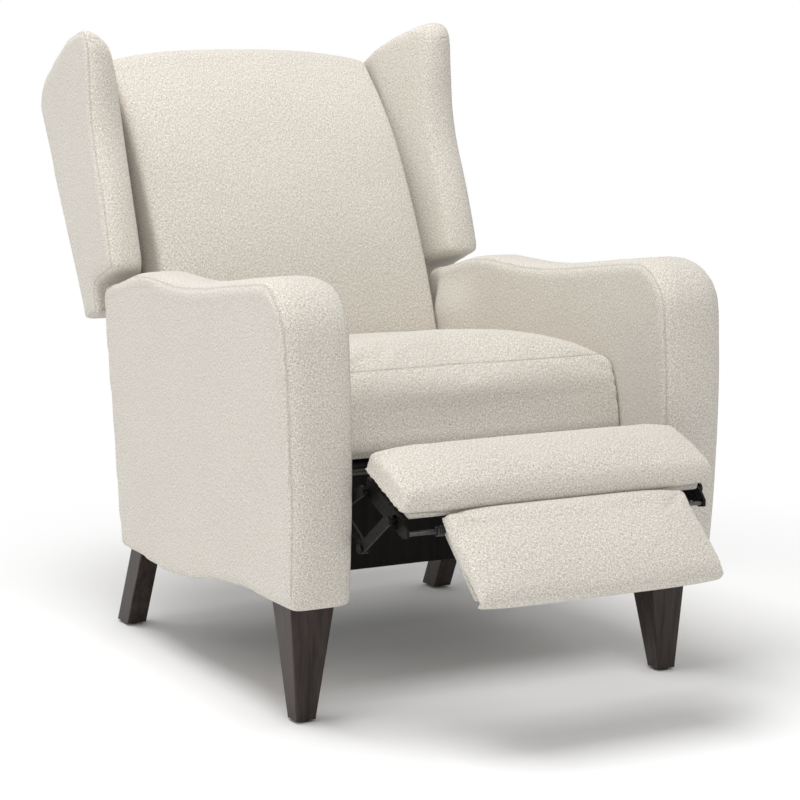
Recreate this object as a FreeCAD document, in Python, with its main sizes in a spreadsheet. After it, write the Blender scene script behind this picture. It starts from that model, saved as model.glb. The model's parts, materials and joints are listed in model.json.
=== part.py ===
import FreeCAD, Part
import math
import os
import Sketcher
from FreeCAD import Placement, Rotation, Vector

# Wing-back recliner with a fold-out footrest, drawn in the pose of the photograph: footrest out,
# back leaning. Millimetres, +Z up, the front faces -Y, and the floor is at z = 0.
# Sketches measure depth back from the front of the arms, and each piece is then shifted forward by
# "armfront", so that the origin lies on the floor under the middle of the chair.

doc = FreeCAD.newDocument("Recliner")
sheet = doc.addObject("Spreadsheet::Sheet", "Sizes")

DIMENSIONS = [
    # Arms and stance
    ("armfront", 395.44, "depth from the arm fronts to the origin"),
    ("halfwidth", 380.0, "outside of an arm from the middle"),
    ("armwidth", 102.0, "width of an arm at its front"),
    ("armdepth", 756.0, "front to rear of an arm at its top"),
    ("armrise", 648.0, "height of the arm seams at the front hump"),
    ("armbottom", 181.0, "underside of an arm over the front leg"),
    ("rearbottom", 146.0, "underside of an arm over the rear leg"),
    ("armcrown", 14.0, "how far the top band of an arm bulges"),
    ("frontbow", 9.0, "how far the front seams of an arm bow forward"),
    ("frontbulge", 13.0, "how far the front band of an arm bulges"),
    ("reartaper", 32.0, "how much narrower an arm is at its rear"),
    ("foottaper", 14.0, "how far an arm draws in towards its underside"),
    ("boardthick", 25.0, "hardwood boards"),
    ("boardinset", 27.0, "board from the inner face of the arm"),
    # Legs
    ("glideheight", 4.0, "glides under the legs"),
    ("glideradius", 11.0, "glides under the legs"),
    ("legtopwidth", 73.0, "front leg at its top"),
    ("legtopdepth", 66.0, "front leg at its top"),
    ("legfootwidth", 32.5, "front leg at its foot"),
    ("legfootdepth", 32.0, "front leg at its foot"),
    ("rearlegwidth", 35.0, "rear leg, side to side"),
    ("rearlegdepth", 46.0, "rear leg, front to back"),
    ("rearlegrake", 70.0, "how far the rear foot stands behind its top"),
    ("boltradius", 4.0, "leg bolts"),
    # Seat
    ("seatfront", 148.0, "front seam of the seat cushion behind the arm fronts"),
    ("seatnose", 32.0, "how far the foot of the cushion's front stands ahead of that seam"),
    ("seatshort", 96.0, "rear of the seat cushion ahead of the rear of the arms"),
    ("seatlip", 391.0, "lower edge of the seat cushion's front"),
    ("decktop", 425.0, "top of the seat rails"),
    ("railheight", 34.0, "seat rails"),
    ("railthick", 22.0, "seat rails"),
    ("webthick", 2.5, "webbing under the cushions"),
    ("crossbehind", 11.4, "cross rail and apron behind the fixed pivot of the linkage"),
    ("apronthick", 1.6, "apron that hides the linkage from the front"),
    ("apronfall", 50.0, "apron below the cross rail"),
    ("seatseam", 503.0, "front top seam of the seat cushion"),
    ("seatcrown", 38.0, "how far the seat cushion swells above its front seam"),
    # Back
    ("recline", 32.1, "rear of the back from upright, degrees"),
    ("backbehind", 74.0, "a point on the rear plane of the back: depth behind the arms"),
    ("backlevel", 520.0, "the same point: height"),
    ("backside", 20.5, "each side of the back cushion in from the arms"),
    ("panelthick", 12.0, "outer panel of the back"),
    ("postdepth", 40.0, "posts of the back, front to rear"),
    ("postwidth", 26.0, "posts of the back, side to side"),
    ("posttop", 411.0, "top of the posts along the back"),
    ("postfoot", 118.0, "how far the posts reach below that point"),
    ("hingebelow", 80.1, "hinge of the back below that point, along the back"),
    ("hingeahead", 61.9, "hinge of the back ahead of its rear plane"),
    ("hingeradius", 6.0, "hinge pins of the back"),
    ("wingbulge", 10.0, "how far the front band of a wing bulges"),
    # Footrest linkage
    ("crankdepth", 289.2, "fixed pivot of the linkage: depth"),
    ("cranklevel", 363.0, "fixed pivot of the linkage: height"),
    ("halfbar", 90.7, "half the length of a crossing bar"),
    ("tonglean", 1.0, "how far the linkage slopes down forwards, degrees"),
    ("tongopen", 28.0, "bars from the linkage's line when open, degrees"),
    ("tongshut", 83.0, "bars from the linkage's line when shut, degrees"),
    ("barwidth", 16.0, "width of a bar"),
    ("steel", 4.0, "thickness of plates and bars"),
    ("pinradius", 3.5, "rivets"),
    ("pinplay", 0.06, "radial play of a rivet in its hole"),
    ("headradius", 7.5, "rivet heads"),
    ("headthick", 2.2, "rivet heads"),
    ("lastbar", 97.6, "length of the last bar"),
    ("lastangle", 34.6, "last bar above level when open, degrees"),
    ("wideholeplay", 4.4, "radial play of the last bar's pin in the pad bracket"),
    ("lugreach", 36.0, "cross tube from the fixed pivot"),
    ("tuberadius", 8.0, "cross tube"),
    # Footrest pads
    ("padtilt", 23.0, "upper pad below level, degrees"),
    ("padrear", 20.0, "upper pad behind its pivot"),
    ("padfront", 119.0, "upper pad ahead of its pivot"),
    ("padside", 13.0, "each end of the upper pad in from the arms"),
    ("padunder", 15.5, "underside of the upper board above the pivot"),
    ("padboard", 12.0, "board of the upper pad"),
    ("padthick", 44.0, "cushion of the upper pad at its seams"),
    ("padcrown", 9.0, "how far the upper cushion swells"),
    ("leafalong", 118.0, "leaf hinge ahead of the pad's pivot"),
    ("leaftilt", 43.0, "lower pad below level, degrees"),
    ("leafrear", 12.0, "lower pad behind its hinge"),
    ("leaffront", 147.0, "lower pad ahead of its hinge"),
    ("leafside", 72.0, "each end of the lower pad in from the arms"),
    ("leafunder", 5.0, "underside of the lower board above its hinge"),
    ("leafboard", 12.0, "board of the lower pad"),
    ("leafthick", 27.5, "cushion of the lower pad at its seams"),
    ("leafcrown", 6.0, "how far the lower cushion swells"),
    # Running gaps
    ("gap", 0.3, "soft pieces from what they lie against"),
]

for row, (alias, number, note) in enumerate(DIMENSIONS, start=1):
    sheet.set("A%d" % row, alias)
    sheet.set("B%d" % row, str(number))
    sheet.set("C%d" % row, note)
    sheet.setAlias("B%d" % row, alias)
doc.recompute()


class Size:
    """A length from the sheet, or arithmetic on such lengths: its value and its formula."""

    def __init__(self, value, formula):
        self.value = float(value)
        self.formula = formula

    def __add__(self, other):
        other = as_size(other)
        return Size(self.value + other.value, "(%s + %s)" % (self.formula, other.formula))

    def __sub__(self, other):
        other = as_size(other)
        return Size(self.value - other.value, "(%s - %s)" % (self.formula, other.formula))

    def __mul__(self, other):
        other = as_size(other)
        return Size(self.value * other.value, "(%s * %s)" % (self.formula, other.formula))

    def __truediv__(self, other):
        other = as_size(other)
        return Size(self.value / other.value, "(%s / %s)" % (self.formula, other.formula))

    def __radd__(self, other):
        return as_size(other) + self

    def __rsub__(self, other):
        return as_size(other) - self

    def __rmul__(self, other):
        return as_size(other) * self

    def __neg__(self):
        return self * -1

    def __float__(self):
        return self.value


def as_size(number):
    if isinstance(number, Size):
        return number
    return Size(number, repr(float(number)))


def size(alias):
    return Size(getattr(sheet, alias), "Sizes." + alias)


def sine(degrees):
    degrees = as_size(degrees)
    return Size(math.sin(math.radians(degrees.value)), "sin(%s * 1deg)" % degrees.formula)


def cosine(degrees):
    degrees = as_size(degrees)
    return Size(math.cos(math.radians(degrees.value)), "cos(%s * 1deg)" % degrees.formula)


# Shared places

arm_inner = size("halfwidth") - size("armwidth")
plate_inner = arm_inner - size("steel")
far_layer = (plate_inner - 7.0, plate_inner - 3.0)
near_layer = (plate_inner - 14.0, plate_inner - 10.0)
pad_layer = (plate_inner - 21.0, plate_inner - 17.0)
pad_half = arm_inner - size("padside")
leaf_half = arm_inner - size("leafside")
leaf_layer = (leaf_half - 30.0, leaf_half - 26.0)
post_outer = arm_inner - 16.0
seat_rear = size("armdepth") - size("seatshort")
back_foot = size("armdepth") + size("backbehind")


def along(start, distance, degrees):
    """The point at a distance from start, forward along a line that many degrees above level."""
    depth, level = start
    return (depth - distance * cosine(degrees), level + distance * sine(degrees))


def across(start, distance, degrees):
    """The point at a distance from start, square to that line on its upper side."""
    depth, level = start
    return (depth + distance * sine(degrees), level + distance * cosine(degrees))


def pad_point(reach, rise):
    """A point on the upper pad, from its pivot: forward along the pad, and up from it."""
    return across(along(pad_pivot, reach, -size("padtilt")), rise, -size("padtilt"))


def leaf_point(reach, rise):
    """A point on the lower pad, from its hinge: forward along the leaf, and up from it."""
    return across(along(leaf_hinge, reach, -size("leaftilt")), rise, -size("leaftilt"))


def back_point(reach, rise):
    """A point on the back: up along its rear plane, and forward from that plane."""
    depth = back_foot + reach * sine(size("recline")) - rise * cosine(size("recline"))
    level = size("backlevel") + reach * cosine(size("recline")) + rise * sine(size("recline"))
    return (depth, level)


back_hinge = back_point(-size("hingebelow"), size("hingeahead"))

# Pivots of the lazy-tongs linkage, open. Upper ends lie on one line and lower ends on another.
lean = -size("tonglean")
rising = size("tongopen") + lean
falling = lean - size("tongopen")
bar = size("halfbar") * 2
fixed_pivot = (size("crankdepth"), size("cranklevel"))
step = bar * cosine(size("tongopen"))
fall = bar * sine(size("tongopen"))
upper_1 = along(fixed_pivot, step, lean)
pad_pivot = along(upper_1, step, lean)
lower_0 = across(fixed_pivot, -fall, lean)
lower_1 = across(upper_1, -fall, lean)
lower_2 = across(pad_pivot, -fall, lean)
cross_1 = along(fixed_pivot, size("halfbar"), falling)
cross_2 = along(upper_1, size("halfbar"), falling)
last_pin = along(lower_2, size("lastbar"), size("lastangle"))
leaf_hinge = pad_point(size("leafalong"), 0.0)
tube_centre = along(fixed_pivot, size("lugreach"), falling - 90.0)


# Building blocks

def origin_plane(body, role):
    for feature in body.Origin.OriginFeatures:
        if feature.Role == role:
            return feature
    raise RuntimeError("no plane " + role)


def new_body(name):
    body = doc.addObject("PartDesign::Body", name)
    body.Label = name
    body.setExpression("Placement.Base.y", "-Sizes.armfront")
    return body


class Outline:
    """A sketch on one of a body's planes whose geometry is held by formulas."""

    def __init__(self, body, role, offset=0.0):
        self.sketch = body.newObject("Sketcher::SketchObject", body.Name + "_sketch")
        self.sketch.AttachmentSupport = [(origin_plane(body, role), "")]
        self.sketch.MapMode = "FlatFace"
        self.sketch.setExpression("AttachmentOffset.Base.z", as_size(offset).formula)

    def hold(self, kind, *where, value):
        value = as_size(value)
        index = self.sketch.addConstraint(Sketcher.Constraint(kind, *where, value.value))
        label = "held%d" % index
        self.sketch.renameConstraint(index, label)
        self.sketch.setExpression("Constraints." + label, value.formula)

    def pin_point(self, geometry, end, point):
        self.hold("DistanceX", -1, 1, geometry, end, value=point[0])
        self.hold("DistanceY", -1, 1, geometry, end, value=point[1])

    def polygon(self, points):
        spots = [Vector(float(x), float(y), 0) for x, y in points]
        lines = []
        for index, spot in enumerate(spots):
            following = spots[(index + 1) % len(spots)]
            lines.append(self.sketch.addGeometry(Part.LineSegment(spot, following), False))
        for index, line in enumerate(lines):
            following = lines[(index + 1) % len(lines)]
            self.sketch.addConstraint(Sketcher.Constraint("Coincident", line, 2, following, 1))
        for line, point in zip(lines, points):
            self.pin_point(line, 1, point)
        return self

    def circle(self, centre, radius):
        spot = Vector(float(centre[0]), float(centre[1]), 0)
        ring = self.sketch.addGeometry(Part.Circle(spot, Vector(0, 0, 1), float(radius)), False)
        self.pin_point(ring, 3, centre)
        self.hold("Radius", ring, value=radius)
        return self

    def slot(self, first, second, radius):
        """Two half circles joined by straight sides."""
        a = Vector(float(first[0]), float(first[1]), 0)
        b = Vector(float(second[0]), float(second[1]), 0)
        heading = math.atan2(b.y - a.y, b.x - a.x)
        quarter = math.pi / 2
        up = Vector(0, 0, 1)
        ring_a = Part.Circle(a, up, float(radius))
        ring_b = Part.Circle(b, up, float(radius))
        cap_a = self.sketch.addGeometry(
            Part.ArcOfCircle(ring_a, heading + quarter, heading + 3 * quarter), False)
        cap_b = self.sketch.addGeometry(
            Part.ArcOfCircle(ring_b, heading - quarter, heading + quarter), False)
        side = Vector(-math.sin(heading), math.cos(heading), 0) * float(radius)
        left = self.sketch.addGeometry(Part.LineSegment(b + side, a + side), False)
        right = self.sketch.addGeometry(Part.LineSegment(a - side, b - side), False)
        for one, one_end, other, other_end in (
                (cap_b, 2, left, 1), (left, 2, cap_a, 1), (cap_a, 2, right, 1), (right, 2, cap_b, 1)):
            self.sketch.addConstraint(Sketcher.Constraint("Tangent", one, one_end, other, other_end))
        self.pin_point(cap_a, 3, first)
        self.pin_point(cap_b, 3, second)
        self.hold("Radius", cap_a, value=radius)
        return self


    def rounded(self, low, high, radius):
        """A rectangle from its low corner to its high corner, with round corners."""
        radius = as_size(radius)
        x_low, x_high = low[0] + radius, high[0] - radius
        y_low, y_high = low[1] + radius, high[1] - radius
        centres = [(x_low, y_low), (x_high, y_low), (x_high, y_high), (x_low, y_high)]
        up = Vector(0, 0, 1)
        corners, ends = [], []
        for number, centre in enumerate(centres):
            spot = Vector(float(centre[0]), float(centre[1]), 0)
            begin = math.radians(180 + 90 * number)
            ring = Part.Circle(spot, up, float(radius))
            arc = Part.ArcOfCircle(ring, begin, begin + math.pi / 2)
            corners.append(self.sketch.addGeometry(arc, False))
            ends.append((arc.StartPoint, arc.EndPoint))
        for number, corner in enumerate(corners):
            following = (number + 1) % 4
            side = self.sketch.addGeometry(
                Part.LineSegment(ends[number][1], ends[following][0]), False)
            self.sketch.addConstraint(Sketcher.Constraint("Tangent", corner, 2, side, 1))
            self.sketch.addConstraint(
                Sketcher.Constraint("Tangent", side, 2, corners[following], 1))
        for corner, centre in zip(corners, centres):
            self.pin_point(corner, 3, centre)
            self.hold("Radius", corner, value=radius)
        return self


def extrude(body, outline, length, reversed_way=False, kind="Pad"):
    feature = body.newObject("PartDesign::" + kind, body.Name + "_" + kind.lower())
    feature.Profile = outline.sketch
    feature.setExpression("Length", as_size(length).formula)
    feature.Reversed = reversed_way
    outline.sketch.Visibility = False
    return feature


def side_outline(body, side, x):
    """A sketch of depth and height at a distance from the middle, on the right or the left."""
    return Outline(body, "YZ_Plane", as_size(x) * side)


def widen(body, side, outline, width, inward=False):
    """Pads a side sketch away from the middle of the chair, or towards it."""
    return extrude(body, outline, width, reversed_way=(side > 0) == inward)


def board(name, x_from, x_to, points):
    """A flat-sided piece with a side outline, from one x to another."""
    body = new_body(name)
    extrude(body, Outline(body, "YZ_Plane", x_from).polygon(points), x_to - x_from)
    return body


def rectangle(low, high):
    return [low, (high[0], low[1]), high, (low[0], high[1])]


def mirrored(side, near, far):
    """Two distances from the middle as x values in rising order, on the right or the left."""
    return (near, far) if side > 0 else (-far, -near)


def compound(name, pieces):
    group = doc.addObject("Part::Compound", name)
    group.Label = name
    group.Links = pieces
    return group


def cylinder(name, centre, radius, height):
    """An upright round piece standing at centre, a depth-shifted (x, depth, height) spot."""
    piece = doc.addObject("Part::Cylinder", name)
    x, depth, level = centre
    piece.setExpression("Radius", as_size(radius).formula)
    piece.setExpression("Height", as_size(height).formula)
    piece.setExpression("Placement.Base.x", as_size(x).formula)
    piece.setExpression("Placement.Base.y", (as_size(depth) - size("armfront")).formula)
    piece.setExpression("Placement.Base.z", as_size(level).formula)
    return piece


def soft(name, shape):
    """A padded piece, made of lofted sections."""
    piece = doc.addObject("Part::Feature", name)
    piece.Label = name
    piece.Shape = shape
    piece.Placement = Placement(Vector(0, -sheet.armfront, 0), Rotation())
    return piece


def section(points, x_at):
    """A closed wire. A point is (depth, height), and (via, end) pairs make an arc."""
    def spot(point):
        depth, level = float(point[0]), float(point[1])
        return Vector(x_at(depth, level), depth, level)

    edges = []
    start = spot(points[0])
    for item in points[1:]:
        if isinstance(item[0], tuple):
            edges.append(Part.Arc(start, spot(item[0]), spot(item[1])).toShape())
            start = spot(item[1])
        else:
            edges.append(Part.LineSegment(start, spot(item)).toShape())
            start = spot(item)
    edges.append(Part.LineSegment(start, spot(points[0])).toShape())
    return Part.Wire(edges)


def swell(share):
    """How far a padded band stands out, 0 at its seams and 1 in its middle, by share across."""
    return 1 - (2 * share - 1) ** 2


def band(share):
    """Like swell, but fuller beside the seams."""
    return 1 - (2 * share - 1) ** 4


def crowned(spot):
    """How far a cushion swells at a spot across it, from -1 at one end to 1 at the other."""
    return 1 - abs(spot) ** 5


SHARES = (0.0, 0.125, 0.25, 0.375, 0.5, 0.625, 0.75, 0.875, 1.0)
SPOTS = [2 * share - 1 for share in SHARES]


# Arms

def arm_profile(bulge):
    """Side outline of an arm: S-shaped top, round front corner and arched underside."""
    rise = sheet.armrise
    rear = sheet.armdepth
    low = sheet.armbottom
    back_low = sheet.rearbottom
    up = bulge * sheet.armcrown
    slim = up * 0.45
    out = bulge * sheet.frontbulge
    bow = sheet.frontbow
    return [
        (-out * 0.3, low),
        ((-bow - out, 0.5 * (low + rise) - 24), (-out, rise - 62)),
        ((24 - out * 0.7, rise - 18 + up * 0.7), (92, rise - 1 + up)),
        ((205, rise - 16 + up), (350, rise - 38 + up)),
        ((440, rise - 47 + up), (520, rise - 44 + up * 0.8)),
        ((615, rise - 42 + slim), (rear - 30, rise - 58 + slim)),
        ((rear - 6, rise - 66 + slim * 0.5), (rear, rise - 88)),
        (rear - 34, back_low),
        (rear - 120, back_low),
        ((500, back_low - 3), (400, back_low + 5)),
        ((265, low - 6), (112, low)),
    ]


def arm_shape(side):
    def plane(share):
        def x_at(depth, level):
            narrow = sheet.reartaper * depth / sheet.armdepth
            narrow += sheet.foottaper * (sheet.armrise - level) / (sheet.armrise - sheet.armbottom)
            inner = float(arm_inner)
            return side * (inner + share * (sheet.armwidth - narrow))
        return x_at

    wires = [section(arm_profile(band(share)), plane(share)) for share in SHARES]
    return Part.makeLoft(wires, True, False)


def arm_board_outline(drop=0.0):
    """The hardwood side inside an arm, set in from its top and ends."""
    top = size("armrise") - 80.0
    return [
        (as_size(36.0), size("armbottom") + 6.0 - drop),
        (as_size(36.0), top),
        (size("armdepth") - 90.0, top - 10.0),
        (size("armdepth") - 90.0, size("rearbottom") + 6.0 - drop),
        (as_size(430.0), size("rearbottom") + 10.0 - drop),
        (as_size(150.0), size("armbottom") + 4.0 - drop),
    ]


def make_arm(side, word):
    start = (arm_inner + size("boardinset")) * side
    panel = new_body("arm_board_" + word)
    outline = Outline(panel, "YZ_Plane", start).polygon(arm_board_outline())
    extrude(panel, outline, size("boardthick"), reversed_way=side < 0)
    doc.recompute()
    # The padding closes round the board and leaves its lower edge open for the legs
    spots = [Vector(float(start), float(depth), float(level))
             for depth, level in arm_board_outline(60.0)]
    slot = Part.Face(Part.makePolygon(spots + spots[:1])).extrude(
        Vector(side * sheet.boardthick, 0, 0))
    spots = [Vector(float(start), float(depth), float(level)) for depth, level in arm_board_outline()]
    hollow = Part.Face(Part.makePolygon(spots + spots[:1])).extrude(
        Vector(side * sheet.boardthick, 0, 0))
    padding = soft("arm_" + word, arm_shape(side).cut(slot.fuse(hollow)))
    return [padding, panel]


# Legs

def leg_loft(name, low, high, top):
    """A leg between a foot rectangle and a top rectangle, each ((x, depth), (x, depth))."""
    body = new_body(name)
    foot = Outline(body, "XY_Plane", size("glideheight")).rounded(*low, 3.0)
    head = Outline(body, "XY_Plane", top).rounded(*high, 3.0)
    loft = body.newObject("PartDesign::AdditiveLoft", name + "_loft")
    loft.Profile = foot.sketch
    loft.Sections = [head.sketch]
    loft.Ruled = True
    return body


def soften_long_edges(body):
    """Rounds the four long edges of a leg."""
    doc.recompute()
    plain = body.Tip
    slanted = []
    for index, edge in enumerate(plain.Shape.Edges, start=1):
        ends = [vertex.Z for vertex in edge.Vertexes]
        if abs(ends[0] - ends[1]) > 20:
            slanted.append("Edge%d" % index)
    soften = body.newObject("PartDesign::Fillet", body.Name + "_fillet")
    soften.Base = (plain, slanted)
    soften.Radius = 2.0


def drill_top(body, centre, top, depth):
    outline = Outline(body, "XY_Plane", top).circle(centre, size("boltradius"))
    extrude(body, outline, depth, kind="Pocket")


def make_legs():
    pieces, glides, bolts = [], [], []
    for side, word in ((1, "right"), (-1, "left")):
        inner = arm_inner + 1.0
        foot_inner = inner + 27.5
        foot_left, foot_right = mirrored(side, foot_inner, foot_inner + size("legfootwidth"))
        top_left, top_right = mirrored(side, inner, inner + size("legtopwidth"))
        low = ((foot_left, as_size(44.0)), (foot_right, 44.0 + size("legfootdepth")))
        high = ((top_left, as_size(34.0)), (top_right, 34.0 + size("legtopdepth")))
        front = leg_loft("leg_front_" + word, low, high, size("armbottom"))
        bolt_at = ((arm_inner + size("boardinset") + size("boardthick") / 2) * side, as_size(66.0))
        drill_top(front, bolt_at, size("armbottom"), 40.0)
        pieces.append(front)

        rear_inner = arm_inner + 8.0
        top_at = size("armdepth") - 86.0
        foot_at = top_at + size("rearlegrake")
        rear = new_body("leg_rear_" + word)
        outline = side_outline(rear, side, rear_inner)
        outline.polygon([(foot_at, size("glideheight")),
                         (foot_at + size("rearlegdepth"), size("glideheight")),
                         (top_at + size("rearlegdepth"), size("rearbottom")),
                         (top_at, size("rearbottom"))])
        widen(rear, side, outline, size("rearlegwidth"))
        soften_long_edges(rear)
        pieces.append(rear)

        foot_middle = foot_inner + size("legfootwidth") / 2
        rear_middle = rear_inner + size("rearlegwidth") / 2
        glides.append(cylinder("glide_front_" + word,
                               (foot_middle * side, 44.0 + size("legfootdepth") / 2, 0.0),
                               size("glideradius"), size("glideheight")))
        glides.append(cylinder("glide_rear_" + word,
                               (rear_middle * side, foot_at + size("rearlegdepth") / 2, 0.0),
                               size("glideradius"), size("glideheight")))
        bolts.append(cylinder("bolt_" + word, bolt_at + (size("armbottom") - 40.0,),
                              size("boltradius"), 44.0))
    return pieces + [compound("leg_glides", glides), compound("leg_bolts", bolts)]


# Fixed frame under the seat

def make_frame():
    bottom = size("decktop") - size("railheight")
    thick = size("railthick")
    front = size("seatfront") + 59.0
    rear = seat_rear - 42.0
    inside = arm_inner - thick
    pieces = [
        board("seat_rail_front", -arm_inner, arm_inner,
              rectangle((front, bottom), (front + thick, size("decktop")))),
        board("seat_rail_rear", -arm_inner, arm_inner,
              rectangle((rear, bottom), (rear + thick, size("decktop")))),
        board("seat_rail_right", inside, arm_inner,
              rectangle((front + thick, bottom), (rear, size("decktop")))),
        board("seat_rail_left", -arm_inner, -inside,
              rectangle((front + thick, bottom), (rear, size("decktop")))),
        board("front_rail", -arm_inner, arm_inner,
              rectangle((size("crankdepth") + 24.0, size("armbottom") - 23.0),
                        (size("crankdepth") + 44.0, size("cranklevel") - 51.0))),
        board("rear_rail", -arm_inner, arm_inner,
              rectangle((size("armdepth") - 62.0, size("rearbottom") + 6.0),
                        (size("armdepth") - 40.0, size("rearbottom") + 154.0))),
    ]
    cross = size("crankdepth") + size("crossbehind")
    pieces += [
        board("seat_rail_cross", -inside, inside,
              rectangle((cross, bottom), (cross + 13.0, size("decktop")))),
        board("seat_apron", -inside + 16.0, inside - 16.0,
              rectangle((cross, bottom - size("apronfall")), (cross + size("apronthick"), bottom))),
    ]
    straps = []
    for number in range(4):
        body = new_body("seat_strap_%d" % (number + 1))
        middle = -165.0 + 110.0 * number
        outline = Outline(body, "XY_Plane", size("decktop")).polygon(
            rectangle((as_size(middle - 25.0), front + 2.0), (as_size(middle + 25.0), rear + thick - 2.0)))
        extrude(body, outline, size("webthick"))
        straps.append(body)
    pieces.append(compound("seat_webbing", straps))
    cover = new_body("dust_cover")
    outline = Outline(cover, "XY_Plane", size("rearbottom") + 12.0).polygon(
        rectangle((-arm_inner, size("crankdepth") + 44.0), (arm_inner, size("armdepth") - 62.0)))
    extrude(cover, outline, 1.2)
    pieces.append(cover)
    return pieces


def seat_profile(spot):
    """Side outline of the seat cushion at a spot across it."""
    full = crowned(spot)
    front = sheet.seatfront - 6 * spot ** 2
    rear = float(seat_rear)
    rail = sheet.seatfront + 58.5
    seam = sheet.seatseam
    lip = sheet.seatlip
    nose = sheet.seatfront - sheet.seatnose
    deck = sheet.decktop + sheet.webthick
    top = seam + 1.5 + sheet.seatcrown * full
    return [
        (rail, deck),
        (rail, lip),
        (nose + 44, lip),
        (nose + 9, lip + 8),
        ((nose + 1.6, lip + 11), (nose, lip + 18)),
        ((0.5 * (nose + front) - 5, 0.5 * (lip + seam) + 7), (front, seam)),
        ((front + 15, seam + (top - seam) * 0.62), (front + 56, top - 2 * full)),
        ((front + 130, top), (front + 270, top - 3)),
        ((rear - 90, top - 9 * full), (rear - 18, seam - 15 + 3 * full)),
        ((rear - 5, seam - 22), (rear, seam - 36)),
        (rear, deck),
    ]


def make_seat_cushion():
    half = float(arm_inner) - sheet.gap
    wires = []
    for spot in SPOTS:
        wires.append(section(seat_profile(spot), lambda depth, level, x=half * spot: x))
    return [soft("seat_cushion", Part.makeLoft(wires, True, False))]


# Leaning back

def back_spot(reach, rise):
    depth, level = back_point(reach, rise)
    return (float(depth), float(level))


def back_profile(spot):
    """Side outline of the back cushion: hollow lumbar curve in front, flat against its posts."""
    full = crowned(spot)
    flat = sheet.panelthick + sheet.postdepth + sheet.webthick
    fore = 16 * full
    top = 26 * (1 - abs(spot) ** 2.8)
    rim = sheet.posttop + 6 + sheet.gap
    low_rear = back_spot(-62, flat)
    crest = back_spot(rim + 36 + top, flat + 36)
    shoulder = back_spot(rim - 3 + top, 135 + fore * 0.3)
    foot = float(back_foot)
    return [
        low_rear,
        (foot - 154, 442),
        (foot - 158, 484),
        ((foot - 106 - fore, 622), (foot - 44 - fore, 748)),
        ((foot + 21 - fore, 851), shoulder),
        (back_spot(rim + 27 + top, flat + 68), crest),
        (back_spot(rim + 29 + 0.8 * top, 38), back_spot(rim + 8 + 0.4 * top, 1)),
        back_spot(rim, 0),
        back_spot(rim, flat),
    ]


def make_back_cushion():
    wires = []
    half = float(arm_inner) - sheet.backside
    for spot in SPOTS:
        wires.append(section(back_profile(spot), lambda depth, level, x=half * spot: x))
    return [soft("back_cushion", Part.makeLoft(wires, True, False))]


def make_back_frame():
    thick = size("panelthick")
    post_front = thick + size("postdepth")
    foot = -size("postfoot")
    pieces = []
    for side, word in ((1, "right"), (-1, "left")):
        body = new_body("back_post_" + word)
        outline = side_outline(body, side, post_outer - size("postwidth"))
        outline.polygon([back_point(foot, thick), back_point(size("posttop"), thick),
                         back_point(size("posttop"), post_front), back_point(foot, post_front)])
        widen(body, side, outline, size("postwidth"))
        pieces.append(body)
    inside = post_outer - size("postwidth")
    for word, start, length in (("top", size("posttop") - 70.0, 70.0), ("lower", foot, 60.0)):
        pieces.append(board("back_rail_" + word, -inside, inside,
                            [back_point(start, thick), back_point(start + length, thick),
                             back_point(start + length, post_front), back_point(start, post_front)]))
    pieces.append(board("back_panel", -post_outer, post_outer,
                        [back_point(foot, 0.0), back_point(size("posttop") + 6.0, 0.0),
                         back_point(size("posttop") + 6.0, thick), back_point(foot, thick)]))
    straps = []
    for number in range(4):
        start = as_size(-40.0 + 115.0 * number)
        straps.append(board("back_strap_%d" % (number + 1), -post_outer + 4.0, post_outer - 4.0,
                            [back_point(start, post_front), back_point(start + 50.0, post_front),
                             back_point(start + 50.0, post_front + size("webthick")),
                             back_point(start, post_front + size("webthick"))]))
    pieces.append(compound("back_webbing", straps))
    return pieces


def wing_profile(share):
    """Side outline of a wing: S-shaped front, pointed top, and a foot behind the arm."""
    out = swell(share) * sheet.wingbulge
    top = swell(share) * 5
    droop = 12 * (1 - share)
    tip_rear = back_spot(4, -2)
    high_rear = back_spot(424, -2)
    foot = float(back_foot)
    fore = foot - out
    return [
        (foot - 126 - out * 0.5, 624),
        ((fore - 100, 700), (fore - 66, 785)),
        ((fore - 42, 852), (fore - 31, 932)),
        (fore - 26, 984),
        ((foot - 17 - out * 0.7, 1010 + top), (foot + 8, 1019 + top)),
        (foot + 70, 1005 + top - 0.5 * droop),
        (foot + 184, 946 + top - droop),
        ((foot + 216 + top * 0.3, 918), high_rear),
        tip_rear,
        (foot - 52, 541),
        (foot - 40, 590),
    ]


def wing_shape(side):
    def plane(share):
        def x_at(depth, level):
            behind = depth - float(back_foot)
            # The inner face leans out towards its top
            inner = sheet.halfwidth - 77 - 0.3442 * (behind + 30) + 0.115 * (level - 960)
            outer = sheet.halfwidth - 23 - 0.04 * (behind + 70)
            return side * (inner + share * (outer - inner))
        return x_at

    wires = [section(wing_profile(share), plane(share)) for share in SHARES]
    blank = Part.makeLoft(wires, True, False)
    keep_from = float(post_outer)
    block = Part.makeBox(300, 1500, 1500, Vector(keep_from if side > 0 else -keep_from - 300, 0, 0))
    return blank.common(block)


def make_wings():
    return [soft("wing_" + word, wing_shape(side).Solids[0])
            for side, word in ((1, "right"), (-1, "left"))]


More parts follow.
